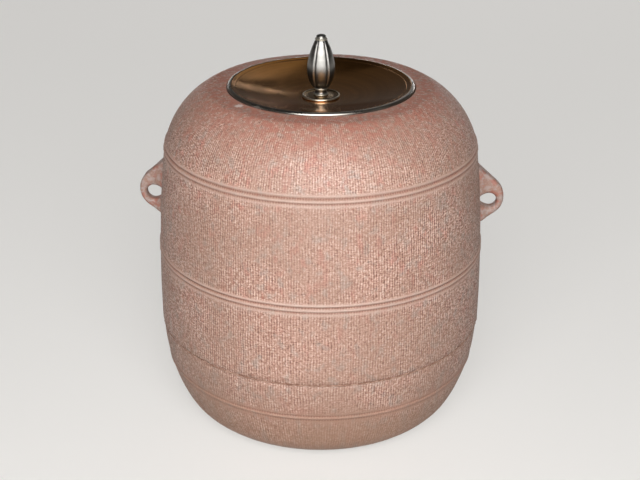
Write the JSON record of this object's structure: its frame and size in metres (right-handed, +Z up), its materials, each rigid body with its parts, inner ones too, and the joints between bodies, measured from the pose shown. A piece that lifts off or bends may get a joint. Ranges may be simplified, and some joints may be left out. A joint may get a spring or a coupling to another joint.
{
  "type": "tea kettle",
  "caption": "Round cast iron tea kettle with a let-in bottom, pierced ring lugs and a scooped bronze lid that lifts off by a turning bud-shaped knob.",
  "frame": {"origin": "centre of the flat base, on the surface that the kettle stands on", "axes": "+Z up along the kettle's axis, +X through the right lug, and -Y faces the viewer"},
  "size_m": [0.2066, 0.1852, 0.2209],
  "materials": {
    "barrel_iron": "rusted iron with fine upright lines",
    "pan_iron": "rusted iron, browner and rougher",
    "putty": "dull lacquer and iron-dust putty",
    "lug_iron": "smoother iron with red rust patches",
    "plate_iron": "dark iron",
    "lacquer": "dark lacquer",
    "lid_bronze": "polished brown bronze",
    "seat_bronze": "polished brown bronze",
    "knob_metal": "polished silver-grey metal"
  },
  "bodies": {
    "kettle": {"barrel": "barrel_iron", "bottom_pan": "pan_iron", "seam_lute": "putty", "left_lug": "lug_iron", "right_lug": "lug_iron", "singing_plate_1": "plate_iron", "singing_plate_2": "plate_iron", "singing_plate_3": "plate_iron", "singing_plate_4": "plate_iron", "lacquer_dab_1": "lacquer", "lacquer_dab_2": "lacquer", "lacquer_dab_3": "lacquer", "lacquer_dab_4": "lacquer"},
    "lid": {"lid_plate": "lid_bronze", "knob_seat": "seat_bronze", "under_washer": "seat_bronze"},
    "knob": {"knob_stem": "knob_metal", "knob_collar": "knob_metal", "knob_bud": "knob_metal", "knob_cap": "knob_metal"}
  },
  "joints": [
    {"name": "lid_lift", "type": "slide", "parent": "kettle", "child": "lid", "axis": [0, 0, 1], "range_m": [0, 0.12]},
    {"name": "knob_turn", "type": "hinge", "parent": "lid", "child": "knob", "pos_m": [0, 0, 0.19], "axis": [0, 0, 1], "continuous": true}
  ]
}
